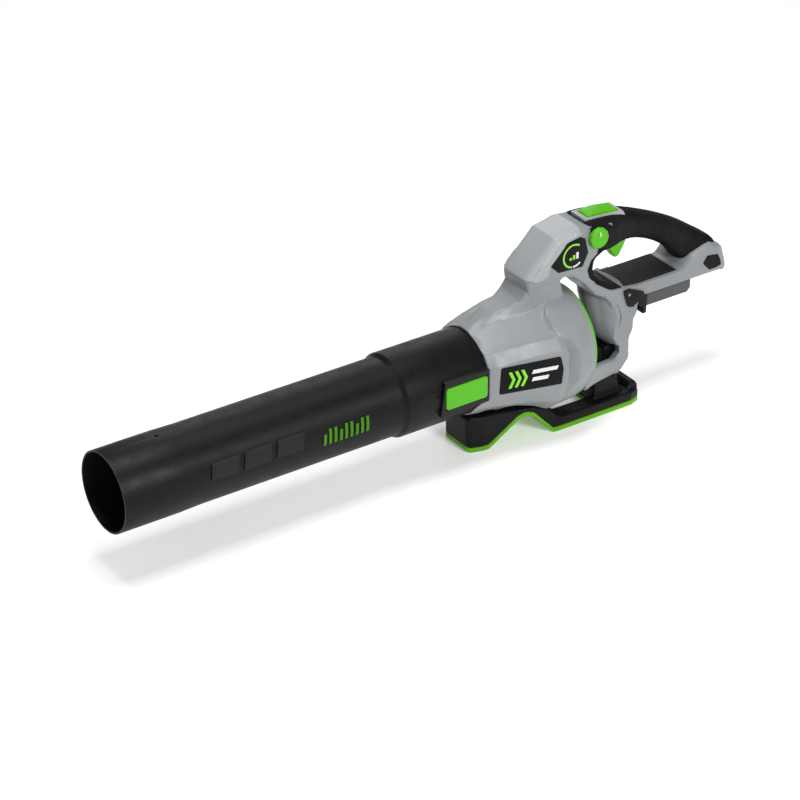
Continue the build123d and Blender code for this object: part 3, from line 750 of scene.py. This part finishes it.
def grip():
    """The rubber skin of the handle, from the stem's top to the rail's rear block."""
    rings = []
    for top, bottom, half_width, square in GRIP:
        middle = (Vector(top) + Vector(bottom)) / 2
        half = (Vector(top) - Vector(bottom)) / 2
        ring = []
        for k in range(48):
            a = 2 * math.pi * k / 48
            c, s = math.cos(a), math.sin(a)
            out = (abs(c) ** square + abs(s) ** square) ** (-1 / square)
            place = middle + half * s * out
            ring.append((half_width * c * out, place.x, place.y))
        rings.append(ring)
    skin = skin_of(rings, "grip_overmould_moulded")
    smooth = skin.modifiers.new("curve", "SUBSURF")
    smooth.levels = 1
    bake(skin)
    cuts = [box_piece("trigger_slot", (-8, 8), (699, 741), (90, 136), 0.5, 0.3),
            box_piece("turbo_slot", (-14.6, 14.6), (662, 726.5), (140, 175), 2, 0.3)]
    return combine(skin, cuts, "DIFFERENCE")


# ---------------------------------------------------------------- base

SOLE_LINE = [(487, -102), (490, GROUND), (515, GROUND), (556, -77), (567, -74), (578, -77), (604, GROUND),
             (738, GROUND), (741, -102)]
SOLE_THICKNESS = 6.5
SKID_TOP = [(486, -62), (490, -56), (528, -58), (545, -60), (580, -64), (596, -70), (612, -85), (678, -86),
            (726, -86), (735, -87), (741, -94)]
PLAN = [(486, 20), (490, 25), (506, 30), (560, 34), (606, 43), (612, 44), (722, 44), (736, 39), (741, 33)]
GAP_SIDE, GAP_END = 21.0, 680.0


def value(table, y):
    """A table of (y, value) read at y."""
    return float(np.interp(y, [a for a, _ in table], [b for _, b in table]))


def beam(name, stations, corner=2.0):
    """A bar along y with a rounded rectangular section at each (y, x low, x high, z low, z high)."""
    rings = []
    for y, x_low, x_high, z_low, z_high in stations:
        loop = rounded([(x_low, z_low), (x_high, z_low), (x_high, z_high), (x_low, z_high)], corner, 3)
        rings.append([(p.x, y, p.y) for p in loop])
    return skin_of(rings, name)


def base_beams(low, high, corner):
    """The base's foot, two runners and rear bridge between two heights given as functions of y."""
    def full_width(y):
        return y, -value(PLAN, y), value(PLAN, y), low(y), high(y)

    beams = []
    front = (487, 489, 492, 498, 506, 515, 528, 545, 556, 562, 567, 572, 578, 586, 596, 604, 612, 616)
    beams.append(beam("foot", [full_width(y) for y in front], corner))
    for side in (1, -1):
        sections = []
        for y in (606, 612, 640, 678, 684):
            near, far = sorted((side * GAP_SIDE, side * value(PLAN, y)))
            sections.append((y, near, far, low(y), high(y)))
        beams.append(beam("runner", sections, corner))
    rear = (GAP_END, 700, 722, 730, 736, 740)
    beams.append(beam("bridge", [full_width(y) for y in rear], corner))
    return beams


def sole():
    """Green underside of the base."""
    pieces = base_beams(lambda y: value(SOLE_LINE, y), lambda y: value(SOLE_LINE, y) + SOLE_THICKNESS, 1.2)
    shape = melt(merged(pieces), 1.0, 3)
    shape.name = "base_sole_moulded"
    return shape


def skid():
    """Black upper part of the base: foot, runners, the post under the arms and the raised tail."""
    pieces = base_beams(lambda y: value(SOLE_LINE, y) + SOLE_THICKNESS, lambda y: value(SKID_TOP, y), 2)
    post = [(672, -90), (672, -66), (684, -58), (703, -58), (709, -62), (710, -74), (716, -84), (724, -90)]
    pieces.append(prism("post", post, -33, 33, 6, 4))
    pieces.append(prism("core", [(696, -90), (697, -30), (703, -26), (718, -28), (721, -60), (722, -90)],
                        -17.5, 17.5, 3, 2))
    pieces.append(prism("tail", [(722, -92), (722, -84), (728, -78), (735, -78), (739, -84), (739, -92)],
                        -36, 36, 3, 3))
    shape = melt(merged(pieces), 1.15, 7)
    shape.name = "base_skid_moulded"
    return shape


# ---------------------------------------------------------------- build: housing and frame

left = housing_half("housing_left")
right = mirrored(left, "housing_right")
settle(left, "housing", "shell_grey", "fan_housing_left", crease=38)
settle(right, "housing", "shell_grey", "fan_housing_right", crease=38)

frame_left = frame_half()
frame_left.name = "frame_left"
frame_right = mirrored(frame_left, "frame_right")
dial_bore = cross_rod("bore", [(0.01, 10), (3.3, 10), (3.3, 40), (0.01, 40)], DIAL_CENTRE)
combine(frame_left, [dial_bore], "DIFFERENCE")
settle(frame_left, "housing", "shell_grey", "handle_frame_left", crease=40)
settle(frame_right, "housing", "shell_grey", "handle_frame_right", crease=40)

settle(shield(), "housing", "shield_grey", "stem_shield", crease=40)
settle(grip(), "housing", "grip_rubber", "grip_overmould", crease=50)
back_strip = prism("stem_back_strip", STEM_STRIP, -26.5, 26.5, 1.5, 1.5)
settle(back_strip, "housing", "grip_rubber")

# ---------------------------------------------------------------- label plates and gauge


def sheared(obj, slope, start):
    """Leans a flat plate outwards towards the rear, to lie on the label pad."""
    for vertex in obj.data.vertices:
        y = (vertex.co.y - NOZZLE_Y) / MM
        vertex.co.x += (y - start) * slope * MM
    return obj


LABEL = [(509, -13), (590, -16.5), (592, 4), (588, 21.5), (511, 22.5)]
for side, word in ((1, "left"), (-1, "right")):
    plate = prism("label_" + word, LABEL, PAD_START - 1.2, PAD_START + 1.0, 2.5, 0.5, 0)
    sheared(plate, PAD_SLOPE, 507)
    marks = []
    for k in range(3):
        y = 520 + k * 8
        outline = [(y, -7), (y + 4, -7.2), (y + 9, 4), (y + 4, 15), (y, 15), (y + 5, 4)]
        marks.append(prism("chevron", outline, PAD_START + 0.9, PAD_START + 1.25, 0.3, 0, 0))
    lime = sheared(merged(marks), PAD_SLOPE, 507)
    lime.name = "label_chevrons_" + word
    bars = []
    for low, start, end in ((6.5, 550, 583), (-3.5, 550, 571)):
        outline = [(start, low), (end, low - 0.8), (end + 2, low + 4.2), (start + 2, low + 5)]
        bars.append(prism("bar", outline, PAD_START + 0.9, PAD_START + 1.25, 0.4, 0, 0))
    pale = sheared(merged(bars), PAD_SLOPE, 507)
    pale.name = "label_bars_" + word
    for obj, material, nodes in ((plate, "label_gloss", ["label_plate_" + word]),
                                 (lime, "print_lime", []), (pale, "print_pale", [])):
        if side < 0:
            obj.data.transform(Matrix.Diagonal((-1, 1, 1, 1)))
            obj.data.flip_normals()
        settle(obj, "housing", material, *nodes)

DISPLAY = [(604, 118), (627, 141), (649, 144), (656, 140), (661, 120), (653, 103), (617, 105)]
lens = prism("display_lens_moulded", DISPLAY, FRAME_SIDE - 1.5, FRAME_SIDE + 1.0, 2.0, 0.6, 0)
settle(lens, "housing", "label_gloss", "display_lens")


def arc_mark(name, centre, radius, width, start, end, x):
    """A thin raised arc on the display, angles in degrees from the rear, anticlockwise seen from +x."""
    steps = max(4, int(abs(end - start) / 6))
    outer, inner = [], []
    for k in range(steps + 1):
        a = math.radians(start + (end - start) * k / steps)
        outer.append((centre[0] + radius * math.cos(a), centre[1] + radius * math.sin(a)))
        inner.append((centre[0] + (radius - width) * math.cos(a), centre[1] + (radius - width) * math.sin(a)))
    return prism(name, outer + inner[::-1], x, x + 0.35, 0.1, 0, 0)


GAUGE = (638.5, 122)
face_x = FRAME_SIDE + 0.85
settle(arc_mark("gauge_arc", GAUGE, 16, 2.4, 55, 262, face_x), "housing", "print_lime")
settle(arc_mark("gauge_low_arc", GAUGE, 16, 2.4, 268, 312, face_x), "housing", "print_pale")
for index in range(3):
    low_y, high_z = 632.5 + index * 5, 120.5 + index * 2.6
    outline = [(low_y, 117), (low_y + 3.4, 117), (low_y + 3.4, high_z), (low_y, high_z)]
    gauge_bar = prism(f"gauge_bar_{index}", outline, face_x, face_x + 0.35, 0.4, 0, 0)
    settle(gauge_bar, "housing", "print_lime" if index < 2 else "print_pale")

BADGE = [(840, 52), (846, 61), (855, 60), (863, 58.5), (868, 50), (869, 43), (860, 41), (850, 41)]


def badges():
    """Two blank plates that follow the rounded end of the rail."""
    outer = rounded(BADGE, 1.5)
    face = drawn_in(outer, 0.4)
    plates = []
    for side in (1, -1):
        rings = []
        for loop, lift in ((outer, -1.0), (outer, 0.9), (face, 1.3)):
            ring = []
            for p in loop:
                left_over = (RAIL_REAR + (RAIL_MIDDLE - p.y) * RAIL_LEAN - p.x) / RAIL_ROUNDING
                reach = RAIL_SIDE * math.sqrt(min(1.0, max(0.0, left_over)))
                ring.append((side * (reach + lift), p.x, p.y))
            rings.append(ring)
        plates.append(skin_of(rings, "rear_badges_moulded"))
    return merged(plates)


settle(badges(), "housing", "label_gloss", "rear_badges")

# ---------------------------------------------------------------- marks on the tube

def wrapped(name, corners, radius, height, steps=6):
    """A thin patch on the tube; corners are (y, degrees above the horizontal): two low, then two high."""
    (y0, a0), (y1, a1), (y2, a2), (y3, a3) = corners
    rings = []
    for k in range(steps + 1):
        t = k / steps
        ring = []
        for y, a in ((y0 + (y3 - y0) * t, a0 + (a3 - a0) * t), (y1 + (y2 - y1) * t, a1 + (a2 - a1) * t)):
            turn = math.radians(a)
            for r in (radius - 0.6, radius + height):
                ring.append((r * math.cos(turn), y, r * math.sin(turn)))
        rings.append([ring[0], ring[1], ring[3], ring[2]])
    return skin_of(rings, name)


TUBE_RADIUS = 50.0
bars = []
for index in range(9):
    start = 264 + index * 7.4
    top = 17 if index % 3 else 11
    corners = [(start, -5), (start + 3.6, -5), (start + 4.8, top), (start + 1.2, top)]
    bars.append(wrapped("tube_bars", corners, TUBE_RADIUS, 0.2))
settle(merged(bars), "tube", "tube_lime")
ribs = []
for index in range(3):
    start = 112 + index * 44
    ribs.append(wrapped("tube_ribs", [(start, 1), (start + 36, 1), (start + 40, 25), (start + 4, 25)],
                        TUBE_RADIUS, 0.35, 10))
settle(merged(ribs), "tube", "tube_black")

# ---------------------------------------------------------------- controls

trigger = prism("trigger_moulded", [(703, 112), (704, 122), (712, 127), (734, 118), (736, 111), (732, 101),
                                    (724, 88), (718, 87), (712, 96), (708, 104)], -7, 7, 3, 2.2)
settle(trigger, "trigger", "lime_green", "trigger")
turbo = prism("turbo_button_moulded",
              [(671, 147), (671, 159), (678, 161), (692, 160.6), (716, 157), (718, 147)], -10, 10, 3, 2.2)
settle(turbo, "turbo_button", "lime_green", "turbo_button")


def dial():
    """Side knob with shallow finger flats round its rim and a domed face."""
    profile = [(12.6, 26.5), (13.4, 27.2), (13.5, 31.0), (12.6, 32.6), (10.8, 33.4), (9.6, 32.9),
               (4.0, 33.2)]
    rings = []
    for index, (radius, x) in enumerate(profile):
        ring = []
        for k in range(96):
            a = 2 * math.pi * k / 96
            dip = 0.035 * (0.5 - 0.5 * math.cos(12 * a)) if 0 < index < 5 else 0
            r = radius * (1 - dip)
            ring.append((x, DIAL_CENTRE[0] + r * math.cos(a), DIAL_CENTRE[1] + r * math.sin(a)))
        rings.append(ring)
    spindle = cross_rod("spindle", [(0.01, 15), (3, 15), (3, 27), (0.01, 27)], DIAL_CENTRE)
    return combine(skin_of(rings, "cruise_dial_moulded"), [spindle], "UNION")


settle(dial(), "cruise_dial", "lime_green", "cruise_dial", crease=30)
pointer = prism("dial_pointer", [(673.2, 140), (674.8, 140), (674.8, 146), (673.2, 146)],
                32.9, 33.6, 0.3, 0.2, 0)
settle(pointer, "cruise_dial", "print_pale")

button = prism("release_button_moulded", [(433, -11), (493, -11), (493, 18), (433, 18)],
               53.4, 57, 4.5, 1.6, 0.3)
boss = box_piece("boss", (51.3, 53.6), (440, 477), (-7, 14), 1, 0.2)
settle(combine(button, [boss], "UNION"), "release_button", "lime_green", "release_button")


def spring(name, start, end, radius, wire, turns, body, node):
    """A wound spring between two points given in millimetres from the air axis."""
    start, end = Vector(start), Vector(end)
    along = (end - start).normalized()
    side = along.orthogonal().normalized()
    up = along.cross(side)
    rings = []
    count = turns * 20
    for k in range(count + 1):
        t = k / count
        a = 2 * math.pi * turns * t
        centre = start + (end - start) * t + (side * math.cos(a) + up * math.sin(a)) * (radius - wire)
        out = side * math.cos(a) + up * math.sin(a)
        ring = []
        for m in range(6):
            b = 2 * math.pi * m / 6
            ring.append(tuple(centre + (out * math.cos(b) + along * math.sin(b)) * wire))
        rings.append(ring)
    settle(skin_of(rings, name), body, "steel", node)


spring("release_spring_coil", (48.9, 463, 3.5), (50.9, 463, 3.5), 3.5, 0.25, 3, "tube", "release_spring")
spring("trigger_spring_coil", (0, 728, 122), (0, 728, 130), 2.5, 0.3, 5, "housing", "trigger_spring")
spring("turbo_spring_coil", (0, 694, 142.8), (0, 694, 145.7), 3.0, 0.25, 4, "housing", "turbo_spring")
spring("ejector_spring_coil", (0, 707.4, 0), (0, 720.6, 0), 5.0, 0.45, 6, "housing", "ejector_spring")

# ---------------------------------------------------------------- CAD nodes with rolled edges

ROLLED = {
    "blower_tube": ("tube_black", 0.5), "latch_bezel": ("tube_black", 0.9),
    "inlet_ring": ("lime_green", 0.8), "rail_cover": ("rail_dark", 0.8),
    "battery_guide": ("guide_grey", 0.8), "battery_latch": ("switch_black", 0.7),
    "turbo_bezel": ("shield_grey", 0.8), "ejector": ("inner_black", 0.6),
    "terminal_block": ("switch_black", 0.5), "latch_pins": ("steel", 0.2),
}
settle(skid(), "housing", "skid_black", "base_skid", crease=60)
settle(sole(), "housing", "sole_green", "base_sole", crease=50)
for node, (material, width) in ROLLED.items():
    refined(node, material, width)

FLANGE_START, FLANGE_END, FLANGE_RADIUS = 598.0, 605.0, 65.5
liner = refined("duct_liner", "inner_black", 0.0)
for vertex in liner.data.vertices:
    y = (vertex.co.y - NOZZLE_Y) / MM
    radius = math.hypot(vertex.co.x, vertex.co.z - AXIS_Z) / MM
    if FLANGE_START < y < FLANGE_END and radius > FLANGE_RADIUS:
        vertex.co.x *= FLANGE_RADIUS / radius
        vertex.co.z = AXIS_Z + (vertex.co.z - AXIS_Z) * FLANGE_RADIUS / radius

# The screw under the stem sits further forward, as the shown stem is slimmer than the CAD's.
screws = refined("frame_screws", "steel", 0.0)
for vertex in screws.data.vertices:
    if 680 < (vertex.co.y - NOZZLE_Y) / MM < 696:
        vertex.co.y -= 32 * MM

PLAIN = {
    "inlet_guard": "inner_black", "guide_vanes": "inner_black",
    "tail_cone": "inner_black", "fan": "inner_black", "motor_stator": "copper_core", "front_bearing": "steel",
    "rear_bearing": "steel", "motor_shaft": "steel", "magnet_rotor": "magnet",
    "base_screws": "steel", "terminal_blades": "brass", "controller_board": "board_green",
    "display_board": "board_green", "heat_sink": "alloy", "trigger_pin": "steel",
    "trigger_switch": "switch_black",
    "turbo_switch": "switch_black", "dial_sensor": "switch_black",
}
for node, material in PLAIN.items():
    slots = frame["nodes"][node].data.materials
    slots.clear()
    slots.append(MATERIALS[material])

# ---------------------------------------------------------------- stage, light and camera

floor_mesh = bpy.data.meshes.new("floor")
floor_mesh.from_pydata([(-8, -8, 0), (8, -8, 0), (8, 8, 0), (-8, 8, 0)], [], [[0, 1, 2, 3]])
floor = bpy.data.objects.new("floor", floor_mesh)
bpy.context.scene.collection.objects.link(floor)
floor_paint = Nodes("floor_paint")
floor_paint.shader.inputs["Base Color"].default_value = (0.93, 0.93, 0.915, 1)
floor_paint.shader.inputs["Roughness"].default_value = 0.9
floor_paint.shader.inputs["Specular IOR Level"].default_value = 0.1
floor_paint.shader.inputs["Emission Color"].default_value = (1, 1, 0.98, 1)
floor_paint.shader.inputs["Emission Strength"].default_value = 0.2
floor_mesh.materials.append(floor_paint.material)

scene = bpy.context.scene
world = bpy.data.worlds.new("studio")
scene.world = world
world.use_nodes = True
world.node_tree.nodes["Background"].inputs["Color"].default_value = (1.0, 1.0, 0.99, 1)
world.node_tree.nodes["Background"].inputs["Strength"].default_value = 0.25
scene.view_settings.view_transform = "Standard"


def lamp(name, place, aim, size, power):
    data = bpy.data.lights.new(name, "AREA")
    data.shape = "RECTANGLE"
    data.size, data.size_y = size
    data.energy = power
    obj = bpy.data.objects.new(name, data)
    obj.location = place
    obj.rotation_euler = (Vector(aim) - Vector(place)).to_track_quat("-Z", "Y").to_euler()
    scene.collection.objects.link(obj)


lamp("overhead", (0.0, -0.1, 2.0), (0, 0, 0.1), (0.9, 1.2), 26)
lamp("key", (2.1, 0.2, 1.35), (0, 0, 0.1), (0.6, 0.8), 39)
lamp("fill", (0.6, -2.2, 1.2), (0, 0, 0.1), (0.8, 0.8), 4)
lamp("rim", (-1.6, 0.9, 1.3), (0, 0, 0.1), (1.0, 1.6), 9)

camera_data = bpy.data.cameras.new("camera")
camera = bpy.data.objects.new("camera", camera_data)
scene.collection.objects.link(camera)
AZIMUTH, ELEVATION = math.radians(55.57), math.radians(30.40)
back = Vector((math.sin(AZIMUTH) * math.cos(ELEVATION), -math.cos(AZIMUTH) * math.cos(ELEVATION),
               math.sin(ELEVATION)))
camera.location = (2.7533, -1.9274, 2.0499)
camera.rotation_euler = (-back).to_track_quat("-Z", "Y").to_euler()
camera_data.lens = 146.4
camera_data.sensor_width = 36
scene.camera = camera
